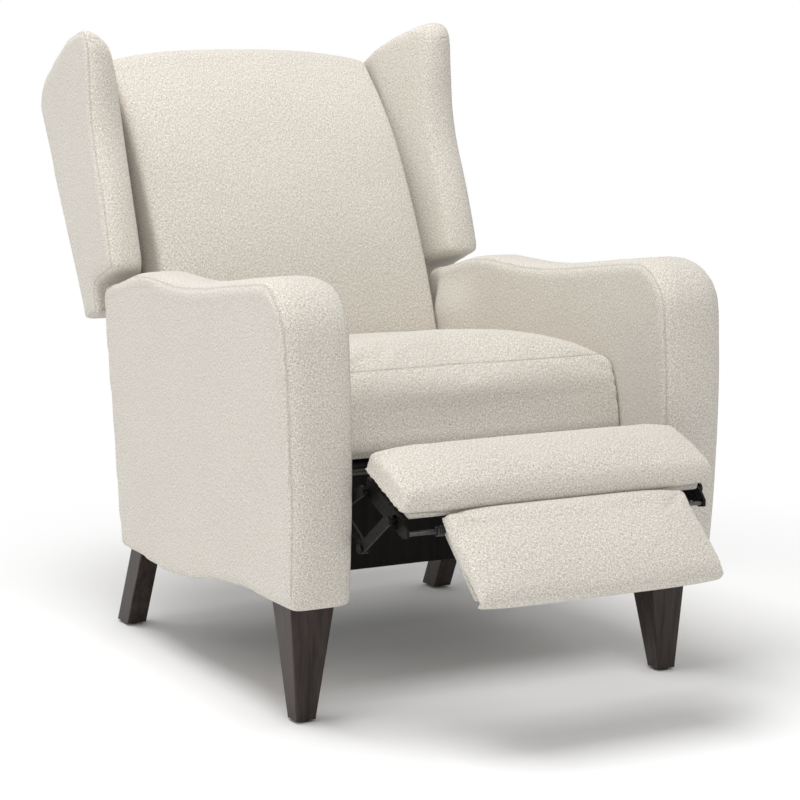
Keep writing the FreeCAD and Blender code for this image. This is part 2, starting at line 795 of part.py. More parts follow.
def make_back_hinges():
    """Plates on the arms carry short pins, and plates on the back posts turn on them."""
    depth, level = back_hinge
    pieces = []
    for side, word in ((1, "right"), (-1, "left")):
        fixed = new_body("hinge_plate_" + word)
        low = (depth - 70.0, level - 26.0)
        high = (depth + 14.0, level + 26.0)
        widen(fixed, side, side_outline(fixed, side, plate_inner).polygon(rectangle(low, high)),
              size("steel"))
        collar = side_outline(fixed, side, plate_inner).circle(back_hinge, size("hingeradius") + 4.0)
        widen(fixed, side, collar, 3.6, inward=True)
        pin = side_outline(fixed, side, plate_inner).circle(back_hinge, size("hingeradius"))
        widen(fixed, side, pin, plate_inner - post_outer - 0.2, inward=True)
        pieces.append(fixed)

        moving = new_body("back_bracket_" + word)
        post_front = size("panelthick") + size("postdepth")
        foot = -size("hingebelow") - 30.0
        head = -size("hingebelow") + 60.0
        rise = size("hingeahead") + 18.0
        outline = side_outline(moving, side, post_outer)
        outline.polygon([back_point(foot, 22.0), back_point(head, 22.0),
                         back_point(head, post_front - 6.0), back_point(foot + 48.0, rise),
                         back_point(foot + 12.0, rise), back_point(foot, rise - 20.0)])
        outline.circle(back_hinge, size("hingeradius") + size("pinplay"))
        widen(moving, side, outline, size("steel"))
        pieces.append(moving)
    return pieces


# Footrest linkage

def rivet(body, side, centre, start, end):
    """A rivet on one bar, from x start through its neighbour to x end, with a head beyond."""
    outward = float(end) > float(start)
    length = end - start if outward else start - end
    widen(body, side, side_outline(body, side, start).circle(centre, size("pinradius")),
          length + 0.4, inward=not outward)
    head_start = end + 0.4 if outward else end - 0.4
    widen(body, side, side_outline(body, side, head_start).circle(centre, size("headradius")),
          size("headthick"), inward=not outward)


def link_bar(name, side, layer, first, second, holes):
    body = new_body(name)
    outline = side_outline(body, side, layer[0]).slot(first, second, size("barwidth") / 2)
    for centre in holes:
        outline.circle(centre, size("pinradius") + size("pinplay"))
    widen(body, side, outline, size("steel"))
    return body


def make_linkage(side, word):
    near, far = near_layer, far_layer
    pieces = []

    plate = new_body("linkage_plate_" + word)
    shut_fall = bar * sine(size("tongshut"))
    slot_end = across(fixed_pivot, -shut_fall, lean)
    outline = side_outline(plate, side, plate_inner).polygon(
        rectangle((size("crankdepth") - 16.0, slot_end[1] - 12.0),
                  (size("crankdepth") + 20.0, size("cranklevel") + 16.0)))
    outline.slot(lower_0, slot_end, size("pinradius") + 0.4)
    widen(plate, side, outline, size("steel"))
    rivet(plate, side, fixed_pivot, plate_inner, near[0])
    pieces.append(plate)

    # Rear falling bar: a bell crank on the fixed pivot, whose lug carries the cross tube
    crank = link_bar("link_crank_" + word, side, near, fixed_pivot, lower_1, [fixed_pivot])
    outline = side_outline(crank, side, near[0]).slot(fixed_pivot, tube_centre, size("barwidth") / 2)
    outline.circle(fixed_pivot, size("pinradius") + size("pinplay"))
    widen(crank, side, outline, size("steel"))
    rivet(crank, side, cross_1, near[1], far[1])
    rivet(crank, side, lower_1, near[1], far[1])
    pieces.append(crank)

    # Rear rising bar: its lower end slides in the plate
    slider = link_bar("link_slider_" + word, side, far, lower_0, upper_1, [cross_1])
    widen(slider, side, side_outline(slider, side, far[1]).circle(lower_0, size("pinradius")),
          arm_inner - far[1] - 0.5)
    rivet(slider, side, upper_1, far[0], near[0])
    pieces.append(slider)

    # Front pair of crossing bars
    lifter = link_bar("link_lifter_" + word, side, far, lower_1, pad_pivot, [lower_1])
    rivet(lifter, side, cross_2, far[0], near[0])
    rivet(lifter, side, pad_pivot, far[0], pad_layer[0])
    pieces.append(lifter)

    carrier = link_bar("link_carrier_" + word, side, near, upper_1, lower_2, [upper_1, cross_2])
    rivet(carrier, side, lower_2, near[1], far[1])
    pieces.append(carrier)

    # Last bar: it turns the upper pad as the tongs open
    last = link_bar("link_tilter_" + word, side, far, lower_2, last_pin, [lower_2])
    widen(last, side, side_outline(last, side, far[0]).circle(last_pin, size("pinradius")),
          far[0] - pad_layer[0] + 0.4, inward=True)
    widen(last, side, side_outline(last, side, pad_layer[0] - 0.4).circle(last_pin, 9.2),
          size("headthick"), inward=True)
    pieces.append(last)
    return pieces


def make_cross_tube():
    body = new_body("cross_tube")
    outline = Outline(body, "YZ_Plane", -near_layer[0])
    outline.circle(tube_centre, size("tuberadius"))
    outline.circle(tube_centre, size("tuberadius") - 1.6)
    extrude(body, outline, near_layer[0] * 2)
    return [body]


def make_pad_brackets():
    pieces, coils = [], []
    for side, word in ((1, "right"), (-1, "left")):
        hanger = new_body("pad_bracket_" + word)
        web = side_outline(hanger, side, pad_layer[0])
        web.polygon([pad_point(-12.0, size("padunder")), pad_point(-12.0, -6.0), pad_point(8.0, -12.0),
                     pad_point(size("leafalong") - 4.0, -10.0), pad_point(size("leafalong") + 8.0, -2.0),
                     pad_point(size("leafalong") + 4.0, 7.0), pad_point(104.0, size("padunder"))])
        web.circle(pad_pivot, size("pinradius") + size("pinplay"))
        web.circle(last_pin, size("pinradius") + size("wideholeplay"))
        widen(hanger, side, web, size("steel"))
        flange = side_outline(hanger, side, pad_layer[1])
        flange.polygon([pad_point(-12.0, size("padunder") - 2.5), pad_point(66.0, size("padunder") - 2.5),
                        pad_point(66.0, size("padunder")), pad_point(-12.0, size("padunder"))])
        widen(hanger, side, flange, 46.0, inward=True)
        pieces.append(hanger)

        leaf = new_body("leaf_bracket_" + word)
        web = side_outline(leaf, side, leaf_layer[0])
        web.polygon([leaf_point(-8.0, size("leafunder")), leaf_point(-7.0, -5.0), leaf_point(0.0, -8.0),
                     leaf_point(60.0, -7.0), leaf_point(104.0, -3.0), leaf_point(104.0, size("leafunder")),
                     leaf_point(9.0, size("leafunder")), leaf_point(5.0, 8.0), leaf_point(-5.0, 8.0)])
        web.circle(leaf_hinge, size("pinradius") + size("pinplay"))
        widen(leaf, side, web, size("steel"))
        flange = side_outline(leaf, side, leaf_layer[1])
        flange.polygon([leaf_point(16.0, size("leafunder") - 2.5), leaf_point(104.0, size("leafunder") - 2.5),
                        leaf_point(104.0, size("leafunder")), leaf_point(16.0, size("leafunder"))])
        widen(leaf, side, flange, 72.0, inward=True)
        pieces.append(leaf)
        coils.append(leaf_coil(side))
    rod = new_body("leaf_hinge_rod")
    outline = Outline(rod, "YZ_Plane", -pad_layer[0]).circle(leaf_hinge, size("pinradius"))
    extrude(rod, outline, pad_layer[0] * 2)
    pieces.append(rod)
    coil_pair = doc.addObject("Part::Feature", "leaf_springs")
    coil_pair.Label = "leaf_springs"
    coil_pair.Shape = Part.makeCompound(coils)
    coil_pair.Placement = Placement(Vector(0, -sheet.armfront, 0), Rotation())
    return pieces + [coil_pair]


def two_arcs(start, start_way, end, end_way):
    """Two arcs that leave one point and reach another along given unit directions."""
    chord = end - start
    both = start_way + end_way
    # The distance from each end to the corner of its arc, the same for both
    square = 2 * (1 - start_way.dot(end_way))
    lead = chord.dot(both)
    reach = (-lead + math.sqrt(lead ** 2 + square * chord.dot(chord))) / square
    first_corner = start + start_way * reach
    second_corner = end - end_way * reach
    joint = (first_corner + second_corner) * 0.5
    arcs = []
    for begin, way, finish in ((start, start_way, joint), (end, end_way * -1, joint)):
        span = finish - begin
        # The middle of an arc lies on the bisector of its chord, by its angle to the first direction
        turn = way.getAngle(span)
        level = (way * span.Length - span * math.cos(turn)).normalize()
        middle = begin + span * 0.5 + level * (span.Length * 0.5 * math.tan(turn / 2))
        arcs.append((begin, middle, finish))
    begin, middle, finish = arcs[1]
    arcs[1] = (finish, middle, begin)
    return [Part.Arc(*arc).toShape() for arc in arcs]


def leaf_coil(side):
    """A torsion spring on the hinge pin of the lower pad: one round wire in a helix."""
    wire, radius, pitch, turns = 1.1, 6.6, 3.6, 7
    middle = Vector(0, float(leaf_hinge[0]), float(leaf_hinge[1]))
    begin = float(leaf_layer[1]) + 1.5
    spots, ways = [], []
    for half in range(2 * turns + 1):
        angle = half * math.pi
        x = side * (begin + pitch * half / 2)
        spots.append(middle + Vector(x, radius * math.cos(angle), radius * math.sin(angle)))
        way = Vector(side * pitch / (2 * math.pi), -radius * math.sin(angle), radius * math.cos(angle))
        ways.append(way.normalize())
    edges = []
    for number in range(2 * turns):
        edges += two_arcs(spots[number], ways[number], spots[number + 1], ways[number + 1])
    profile = Part.Wire(Part.Circle(spots[0], ways[0], wire).toShape())
    least = min((one - other).Length for number, one in enumerate(spots) for other in spots[number + 2:])
    print("least gap between the turns of a leaf spring: %.2f" % (least - 2 * wire))
    return Part.Wire(edges).makePipeShell([profile], True, False)


def pad_profile(place, rear, front, panel, thick, crown, lip, tuck):
    """Side outline of a footrest cushion that lies on its board, whose top is at panel.

    Its front edge rolls down past the board by lip, and tuck lowers its rear edge.
    """
    top = panel + thick
    under = panel - lip
    outline = [
        place(-rear, panel),
        place(-rear, panel + thick * (0.68 - tuck)),
        (place(-rear + 5, panel + thick * (0.93 - tuck * 0.8)),
         place(-rear + 16 + tuck * 20, top + crown * 0.3)),
        (place(0.5 * (front - rear), top + 2 + crown), place(front - 24, top + crown * 0.2)),
        (place(front - 4, top - 9), place(front, 0.5 * (top + under))),
        (place(front - 2.5, under + 6), place(front - 9, under)),
    ]
    if lip:
        outline += [place(front - 13, under), place(front - 13, panel)]
    return outline


def pad_cushion(name, half, place, rear, front, panel, thick, crown, lip=0.0, tuck=0.0):
    wires = []
    for spot in SPOTS:
        full = crowned(spot)
        drawn = 5 * (1 - full)
        outline = pad_profile(place, rear - drawn, front - drawn, panel, thick - drawn * 1.4,
                              crown * full, lip, tuck)
        wires.append(section(outline, lambda depth, level, x=half * spot: x))
    return soft(name, Part.makeLoft(wires, True, False))


def make_pads():
    def pad_spot(reach, rise):
        depth, level = pad_point(reach, rise)
        return (float(depth), float(level))

    def leaf_spot(reach, rise):
        depth, level = leaf_point(reach, rise)
        return (float(depth), float(level))

    under = size("padunder")
    pad_top = under + size("padboard")
    leaf_under = size("leafunder")
    leaf_top = leaf_under + size("leafboard")
    half = pad_half - 16.0
    short_half = leaf_half - 6.0
    pad_front = size("padfront") - 14.0
    leaf_front = size("leaffront") - 18.3
    return [
        board("pad_board", -half, half,
              [pad_point(-size("padrear") + 5.0, under), pad_point(pad_front, under),
               pad_point(pad_front, pad_top), pad_point(-size("padrear") + 5.0, pad_top)]),
        pad_cushion("pad_cushion", float(pad_half), pad_spot, sheet.padrear, sheet.padfront,
                    float(pad_top), sheet.padthick, sheet.padcrown),
        board("leaf_board", -short_half, short_half,
              [leaf_point(10.0, leaf_under), leaf_point(leaf_front, leaf_under),
               leaf_point(leaf_front, leaf_top), leaf_point(10.0, leaf_top)]),
        pad_cushion("leaf_cushion", float(leaf_half), leaf_spot, sheet.leafrear, sheet.leaffront,
                    float(leaf_top), sheet.leafthick, sheet.leafcrown, lip=sheet.leafboard, tuck=0.5),
    ]


# Assembly

pieces = []
for side, word in ((1, "right"), (-1, "left")):
    pieces += make_arm(side, word)
pieces += make_legs()
pieces += make_frame()
pieces += make_seat_cushion()
pieces += make_back_cushion()
pieces += make_back_frame()
pieces += make_wings()
pieces += make_back_hinges()
for side, word in ((1, "right"), (-1, "left")):
    pieces += make_linkage(side, word)
pieces += make_cross_tube()
pieces += make_pad_brackets()
pieces += make_pads()
doc.recompute()

for thing in doc.Objects:
    if "Invalid" in thing.State or "Error" in thing.State:
        raise RuntimeError("%s failed: %s" % (thing.Name, thing.State))
os.makedirs("parts", exist_ok=True)
for piece in pieces:
    if piece.Shape.isNull() or not piece.Shape.isValid() or not piece.Shape.Solids:
        raise RuntimeError(piece.Label + " is not a valid shape")
    piece.Shape.exportStep("parts/%s.step" % piece.Label)

low = min(piece.Shape.BoundBox.YMin for piece in pieces)
high = max(piece.Shape.BoundBox.YMax for piece in pieces)
top = max(piece.Shape.BoundBox.ZMax for piece in pieces)
print("pieces %d, front %.1f, rear %.1f, top %.1f" % (len(pieces), low, high, top))
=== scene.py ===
import json
import math

import bmesh
import bpy
import numpy as np
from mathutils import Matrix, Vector, kdtree


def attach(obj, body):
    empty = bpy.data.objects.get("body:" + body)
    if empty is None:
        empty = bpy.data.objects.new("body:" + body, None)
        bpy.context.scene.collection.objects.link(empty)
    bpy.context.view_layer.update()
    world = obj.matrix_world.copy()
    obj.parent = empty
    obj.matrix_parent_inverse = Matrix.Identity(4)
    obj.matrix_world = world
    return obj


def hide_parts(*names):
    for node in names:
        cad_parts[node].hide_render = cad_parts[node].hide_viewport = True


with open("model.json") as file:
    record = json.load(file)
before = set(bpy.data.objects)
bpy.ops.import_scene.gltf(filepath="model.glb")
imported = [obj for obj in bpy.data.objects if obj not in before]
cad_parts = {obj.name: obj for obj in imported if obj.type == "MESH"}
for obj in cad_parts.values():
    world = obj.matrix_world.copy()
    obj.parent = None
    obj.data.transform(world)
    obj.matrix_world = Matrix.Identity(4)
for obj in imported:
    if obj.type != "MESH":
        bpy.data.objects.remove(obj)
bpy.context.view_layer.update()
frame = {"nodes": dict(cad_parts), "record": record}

# Lengths are in metres. The chair faces -Y, and +X is to the right of someone facing it.

scene = bpy.context.scene
scene.view_settings.view_transform = "Standard"
add_to_scene = scene.collection.objects.link
SIDES = ("left", "right")


# Camera: place, direction and lens as fitted to the photograph

CAMERA_PLACE = (-1.9188, -3.57104, 1.0150)
CAMERA_DOWN_DEGREES = 8.40
CAMERA_TURN_DEGREES = -28.58
SENSOR_MM = 36
LENS_MM = 112.25

camera = bpy.data.objects.new("camera", bpy.data.cameras.new("camera"))
add_to_scene(camera)
camera.location = CAMERA_PLACE
camera.rotation_euler = (math.radians(90 - CAMERA_DOWN_DEGREES), 0,
                         math.radians(CAMERA_TURN_DEGREES))
camera.data.sensor_width = SENSOR_MM
camera.data.lens = LENS_MM
scene.camera = camera


# Node helpers

class Graph:
    """Short calls that build the node tree of a material or a world."""

    def __init__(self, owner):
        owner.use_nodes = True
        self.tree = owner.node_tree
        self.tree.nodes.clear()

    def node(self, kind, **values):
        """A new node. A value goes to the node's setting of that name, or else to its input."""
        made = self.tree.nodes.new("ShaderNode" + kind)
        for key, value in values.items():
            if hasattr(made, key) and key not in made.inputs:
                setattr(made, key, value)
            else:
                self.put(made.inputs[key], value)
        return made

    def put(self, socket, value):
        if isinstance(value, bpy.types.NodeSocket):
            self.tree.links.new(value, socket)
        else:
            socket.default_value = value

    def put_all(self, sockets, values):
        for socket, value in zip(sockets, values):
            if value is not None:
                self.put(socket, value)

    def math(self, operation, first, second=None, third=None, clamp=False):
        made = self.node("Math", operation=operation, use_clamp=clamp)
        self.put_all(made.inputs, (first, second, third))
        return made.outputs[0]

    def mix(self, factor, first, second, blend="MIX"):
        """Two colours mixed. A colour mix has its colours at inputs 6 and 7."""
        made = self.node("Mix", data_type="RGBA", blend_type=blend)
        self.put_all((made.inputs[0], made.inputs[6], made.inputs[7]), (factor, first, second))
        return made.outputs[2]

    def ramp(self, value, stops):
        made = self.tree.nodes.new("ShaderNodeValToRGB")
        self.put(made.inputs[0], value)
        band = made.color_ramp
        while len(band.elements) < len(stops):
            band.elements.new(0.5)
        for element, (place, colour) in zip(band.elements, stops):
            element.position = place
            element.color = colour
        return made.outputs[0]

    def noise(self, vector, scale, detail=2.0, roughness=0.5):
        return self.node("TexNoise", Vector=vector, Scale=scale, Detail=detail,
                         Roughness=roughness).outputs["Fac"]

    def stretched(self, vector, scale):
        return self.node("Mapping", Vector=vector, Scale=scale).outputs[0]

    def spread(self, value, source=(0.0, 1.0), target=(0.0, 1.0), kind="LINEAR"):
        """A value moved from the source range to the target range."""
        made = self.node("MapRange", interpolation_type=kind)
        self.put_all(made.inputs, (value, *source, *target))
        return made.outputs[0]

    def seen_by(self, *kinds):
        """1 for light paths of the given kinds and 0 for all others."""
        paths = self.node("LightPath")
        seen = paths.outputs["Is %s Ray" % kinds[0]]
        for kind in kinds[1:]:
            seen = self.math("MAXIMUM", seen, paths.outputs["Is %s Ray" % kind])
        return seen

    def either(self, factor, first, second):
        """Two shaders mixed."""
        made = self.node("MixShader")
        self.put_all(made.inputs, (factor, first.outputs[0], second.outputs[0]))
        return made

    def output(self, shader, kind="OutputMaterial"):
        self.put(self.node(kind).inputs[0], shader.outputs[0])

    def surface(self, colour, roughness, height, strength, **more):
        """The principled surface of a piece, with a bump height in metres."""
        bump = self.node("Bump", Strength=strength, Distance=1.0, Height=height)
        self.output(self.node("BsdfPrincipled", Normal=bump.outputs[0],
                              **{"Base Color": colour, "Roughness": roughness}, **more))


def grey(value):
    return (value, value, value, 1)


def scaled(colour, factor, offset=0.0):
    return tuple(min(1, part * factor + offset) for part in colour[:3]) + (1,)


# Cover fabric

YARN_PITCH = 0.0020
FLECK_SCALE = 660
FLECK_STRETCH = 0.45
YARN_SHADES = [
    (0.28, (0.36, 0.325, 0.27, 1)), (0.40, (0.52, 0.478, 0.41, 1)),
    (0.50, (0.648, 0.610, 0.548, 1)), (0.60, (0.745, 0.715, 0.66, 1)),
    (0.72, (0.88, 0.865, 0.83, 1))]
LIGHT_BETWEEN_YARNS = 0.79
LIGHT_ON_YARNS = 0.26
WARP_LIGHTER = 0.07
WARMTH_SCALE = 210
WARMTH_SHARE = 0.8
WARMTH_SHADES = [(0.34, (0.95, 0.98, 1.0, 1)), (0.48, (1, 1, 1, 1)), (0.68, (1.0, 0.94, 0.87, 1))]
CLOUD_SCALE = 6
CLOUD_SHARE = 0.35
CLOUD_SHADES = [(0.35, grey(0.93)), (0.65, grey(1.0))]
STITCH_WIDTH = 0.0018
STITCH_DEPTH = 0.0018
# Painted shade: the colour that the seam line is darkened towards, standing in for the shadow in
# its groove
SEAM_GROOVE_PAINTED_SHADE = (0.30, 0.27, 0.23, 1)
SEAM_PAINTED_SHADE_SHARE = 0.38
VALLEY_WIDTH = 0.009
VALLEY_DEPTH = 0.0018
YARN_HEIGHT = 0.0004
FLECK_HEIGHT = 0.0006


def fabric_material():
    """Heathered plain weave: flecked yarns over and under each other, and sewn seams with shade
    painted into their grooves.
    """
    made = bpy.data.materials.new("oatmeal_weave")
    g = Graph(made)
    place = g.node("UVMap", uv_map="cloth").outputs[0]
    parts = g.node("SeparateXYZ", Vector=place)
    wave = math.pi / YARN_PITCH
    across = g.math("SINE", g.math("MULTIPLY", parts.outputs[0], wave))
    upward = g.math("SINE", g.math("MULTIPLY", parts.outputs[1], wave))
    over = g.math("MULTIPLY", across, upward)
    relief = g.math("ABSOLUTE", over)
    warp_on_top = g.math("GREATER_THAN", over, 0.0)
    warp_fleck = g.noise(g.stretched(place, (1.0, FLECK_STRETCH, 1.0)), FLECK_SCALE, detail=1.0)
    weft_fleck = g.noise(g.stretched(place, (FLECK_STRETCH, 1.0, 1.0)), FLECK_SCALE, detail=1.0)
    # A mix of numbers has them at inputs 2 and 3
    chosen = g.node("Mix", data_type="FLOAT")
    g.put_all((chosen.inputs[0], chosen.inputs[2], chosen.inputs[3]),
              (warp_on_top, weft_fleck, warp_fleck))
    fleck = chosen.outputs[0]
    yarn = g.ramp(fleck, YARN_SHADES)
    # The weft is a shade darker than the warp, and less light reaches between the yarns
    lit = g.math("MULTIPLY_ADD", g.math("SQRT", relief), LIGHT_ON_YARNS, LIGHT_BETWEEN_YARNS)
    lit = g.math("ADD", lit, g.math("MULTIPLY", warp_on_top, WARP_LIGHTER))
    yarn = g.mix(1.0, yarn, lit, "MULTIPLY")
    warmth = g.ramp(g.noise(place, WARMTH_SCALE), WARMTH_SHADES)
    colour = g.mix(WARMTH_SHARE, yarn, warmth, "MULTIPLY")
    cloud = g.ramp(g.noise(place, CLOUD_SCALE, detail=3.0), CLOUD_SHADES)
    colour = g.mix(CLOUD_SHARE, colour, cloud, "MULTIPLY")
    # The distance from the stitching is kept on the mesh
    away = g.math("ABSOLUTE", g.node("Attribute", attribute_name="seam").outputs["Fac"])
    seam_dent_and_shade = g.math("SUBTRACT", 1.0, g.math("DIVIDE", away, STITCH_WIDTH), clamp=True)
    valley = g.math("SUBTRACT", 1.0, g.math("DIVIDE", away, VALLEY_WIDTH), clamp=True)
    # Painted shade: the colour is darkened along the seam line as the shadow in its groove; the
    # same mask also dents the bump
    colour = g.mix(g.math("MULTIPLY", seam_dent_and_shade, SEAM_PAINTED_SHADE_SHARE), colour, SEAM_GROOVE_PAINTED_SHADE)
    height = g.math("ADD", g.math("MULTIPLY", relief, YARN_HEIGHT),
                    g.math("MULTIPLY", fleck, FLECK_HEIGHT))
    valley = g.math("MULTIPLY", g.math("MULTIPLY", valley, valley), VALLEY_DEPTH)
    height = g.math("SUBTRACT", height, valley)
    height = g.math("SUBTRACT", height, g.math("MULTIPLY", seam_dent_and_shade, STITCH_DEPTH))
    g.surface(colour, roughness=0.92, height=height, strength=0.45,
              **{"Sheen Weight": 0.25, "Sheen Roughness": 0.5, "Specular IOR Level": 0.25})
    return made


# Wood, metal and utility cloth

GRAIN_STRETCH = (60, 60, 3.5)
PORE_STRETCH = (420, 420, 14)
PORES_FROM = 0.60
PORE_SHARE = 0.35
PORE_DEPTH = 0.8
WOOD_HEIGHT = 0.0006
METAL_HEIGHT = 0.0004
CLOTH_HEIGHT = 0.0004
WORN_FROM = 0.66
WORN_SHADE = (0.42, 0.41, 0.40, 1)


def wood_material(name, dark, light, roughness, gloss=0.5):
    """Straight grain running up the piece, with pores."""
    made = bpy.data.materials.new(name)
    g = Graph(made)
    place = g.node("TexCoord").outputs["Object"]
    grain = g.noise(g.stretched(place, GRAIN_STRETCH), 2.0, detail=6.0, roughness=0.65)
    pores = g.noise(g.stretched(place, PORE_STRETCH), 1.0)
    colour = g.ramp(grain, [(0.35, dark), (0.62, light)])
    pore_mask = g.math("MULTIPLY", g.math("GREATER_THAN", pores, PORES_FROM), PORE_SHARE)
    colour = g.mix(pore_mask, colour, scaled(dark, 0.45))
    relief = g.math("ADD", grain, g.math("MULTIPLY", pores, -PORE_DEPTH))
    height = g.math("MULTIPLY", relief, WOOD_HEIGHT)
    rough = g.spread(grain, target=(roughness - 0.06, roughness + 0.10))
    g.surface(colour, rough, height, strength=0.35, **{"Specular IOR Level": gloss})
    return made


def metal_material(name, colour, roughness, metallic, wear, gloss=0.5):
    """Painted or plated steel, or plastic, with handling marks and brighter worn spots."""
    made = bpy.data.materials.new(name)
    g = Graph(made)
    place = g.node("TexCoord").outputs["Object"]
    marks = g.noise(place, 90, detail=4.0, roughness=0.6)
    spots = g.noise(place, 380, detail=3.0, roughness=0.7)
    worn = g.math("MULTIPLY", g.math("GREATER_THAN", spots, WORN_FROM), wear)
    paint = g.mix(g.math("MULTIPLY", marks, 0.5), colour, scaled(colour, 1.9, 0.003))
    finish = g.mix(worn, paint, WORN_SHADE)
    rough = g.spread(marks, (0.3, 0.7), (roughness - 0.1, roughness + 0.12))
    g.surface(finish, rough, g.math("MULTIPLY", marks, METAL_HEIGHT), strength=0.25,
              **{"Metallic": metallic, "Specular IOR Level": gloss})
    return made


def utility_cloth_material(name, colour, pitch):
    """Thin utility cloth or webbing, with a woven relief."""
    made = bpy.data.materials.new(name)
    g = Graph(made)
    place = g.node("TexCoord").outputs["Object"]
    parts = g.node("SeparateXYZ", Vector=place)
    wave = 2 * math.pi / pitch
    weave = g.math("MULTIPLY", g.math("SINE", g.math("MULTIPLY", parts.outputs[0], wave)),
                   g.math("SINE", g.math("MULTIPLY", parts.outputs[1], wave)))
    fuzz = g.noise(place, 600)
    shade = g.mix(fuzz, colour, scaled(colour, 1.8, 0.01))
    height = g.math("MULTIPLY", g.math("ADD", weave, fuzz), CLOTH_HEIGHT)
    g.surface(shade, roughness=0.95, height=height, strength=0.5)
    return made


fabric = fabric_material()
BY_SLOT = {
    "wood": wood_material("espresso_wood", (0.013, 0.008, 0.0065, 1), (0.042, 0.027, 0.023, 1),
                          0.36, gloss=0.3),
    "frame_wood": wood_material("plain_hardwood", (0.46, 0.31, 0.18, 1), (0.64, 0.46, 0.30, 1),
                                0.62),
    "black_wood": wood_material("black_rail", (0.0035, 0.003, 0.003, 1),
                                (0.009, 0.0075, 0.007, 1), 0.42, gloss=0.08),
    "steel": metal_material("black_steel", (0.006, 0.0056, 0.0054, 1), 0.30, 0.1, 0.08,
                            gloss=0.13),
    "bright_steel": metal_material("plated_steel", (0.085, 0.082, 0.08, 1), 0.30, 1.0, 0.1),
    "webbing": utility_cloth_material("elastic_webbing", (0.045, 0.042, 0.042, 1), 0.0016),
    "dust_cloth": utility_cloth_material("dust_cloth", (0.016, 0.016, 0.017, 1), 0.0012),
    "glide": metal_material("glide_plastic", (0.018, 0.018, 0.018, 1), 0.55, 0.0, 0.0),
    "fabric": fabric,
}
for entry in frame["record"]["subparts"]:
    solid = frame["nodes"][entry["node"]]
    solid.data.materials.clear()
    solid.data.materials.append(BY_SLOT[entry["material_slot"]])


# Mesh helpers

def apply_modifiers(obj):
    graph = bpy.context.evaluated_depsgraph_get()
    made = bpy.data.meshes.new_from_object(obj.evaluated_get(graph))
    obj.modifiers.clear()
    obj.data = made


def read_vectors(mesh, name):
    flat = np.empty(len(mesh.vertices) * 3)
    mesh.vertices.foreach_get(name, flat)
    return flat.reshape(-1, 3)


def points_of(mesh):
    return read_vectors(mesh, "co")


def normals_of(mesh):
    return read_vectors(mesh, "normal")


def set_points(mesh, points):
    mesh.vertices.foreach_set("co", points.ravel())
    mesh.update()


def eased(values, low, high):
    """0 below low and 1 above high, with a soft step between them."""
    share = np.clip((values - low) / (high - low), 0, 1)
    return share * share * (3 - 2 * share)


# Seams: each vertex keeps its signed distance from the nearest one

NO_SEAM = 0.05
CREASE_ANGLE = math.radians(28)
CREASE_STEP = 0.003
CREASE_REACH = 0.020
HALF_TURNED = 0.72
TURN_LENGTH = 0.014
SAME_POINT = 1e-5


def crease_lines(node, keep):
    """Points along the sharp edges of a CAD solid where keep(point) is true."""
    mesh = bmesh.new()
    mesh.from_mesh(frame["nodes"][node].data)
    bmesh.ops.remove_doubles(mesh, verts=mesh.verts, dist=SAME_POINT)
    found = []
    for edge in mesh.edges:
        if len(edge.link_faces) != 2 or edge.calc_face_angle(0) < CREASE_ANGLE:
            continue
        first, second = edge.verts[0].co, edge.verts[1].co
        if not (keep(first) and keep(second)):
            continue
        count = max(1, int((first - second).length / CREASE_STEP))
        found += [first.lerp(second, (i + 0.5) / count) for i in range(count)]
    mesh.free()
    return found


def mark_seams(obj, creases=(), sewn=None, laid=None):
    """Marks the seams along creases of the solid and those that sewn(points, normals) gives.

    Near a crease the cover rounds over, and the stitching runs where it has turned half way.
    laid holds the points as they were before the cover was shaped away from the solid.
    """
    points = points_of(obj.data)
    normals = normals_of(obj.data)
    distance = np.full(len(points), NO_SEAM)
    if creases:
        tree = kdtree.KDTree(len(creases))
        for i, point in enumerate(creases):
            tree.insert(point, i)
        tree.balance()
        away = np.array([tree.find(point)[2] for point in laid])
        turned = (HALF_TURNED - np.abs(normals[:, 0])) * TURN_LENGTH
        distance = np.where(away < CREASE_REACH, turned, distance)
    if sewn is not None:
        extra = sewn(points, normals)
        distance = np.where(np.abs(extra) < np.abs(distance), extra, distance)
    seam = obj.data.attributes.new("seam", "FLOAT", "POINT")
    seam.data.foreach_set("value", distance)


def lay_cloth(mesh):
    """Lays the weave over the mesh in metres, each face along the axis it faces most."""
    layer = mesh.uv_layers.new(name="cloth")
    for polygon in mesh.polygons:
        facing = polygon.normal
        axis = max(range(3), key=lambda i: abs(facing[i]))
        a, b = ((1, 2), (0, 2), (0, 1))[axis]
        for loop in polygon.loop_indices:
            spot = mesh.vertices[mesh.loops[loop].vertex_index].co
            layer.data[loop].uv = (spot[a], spot[b])


def dress(obj, body, node):
    """Lays the fabric over a piece, which moves with a body and stands for a CAD solid."""
    mesh = obj.data
    lay_cloth(mesh)
    mesh.materials.clear()
    mesh.materials.append(fabric)
    for polygon in mesh.polygons:
        polygon.use_smooth = True
    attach(obj, body)
    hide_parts(node)


# Padded pieces

PRESSURE = 4.0
STRETCH_STIFFNESS = 12
BENDING_STIFFNESS = 4
SIM_QUALITY = 5
SIM_FRAMES = 20
GRIP_LEVELS = 10


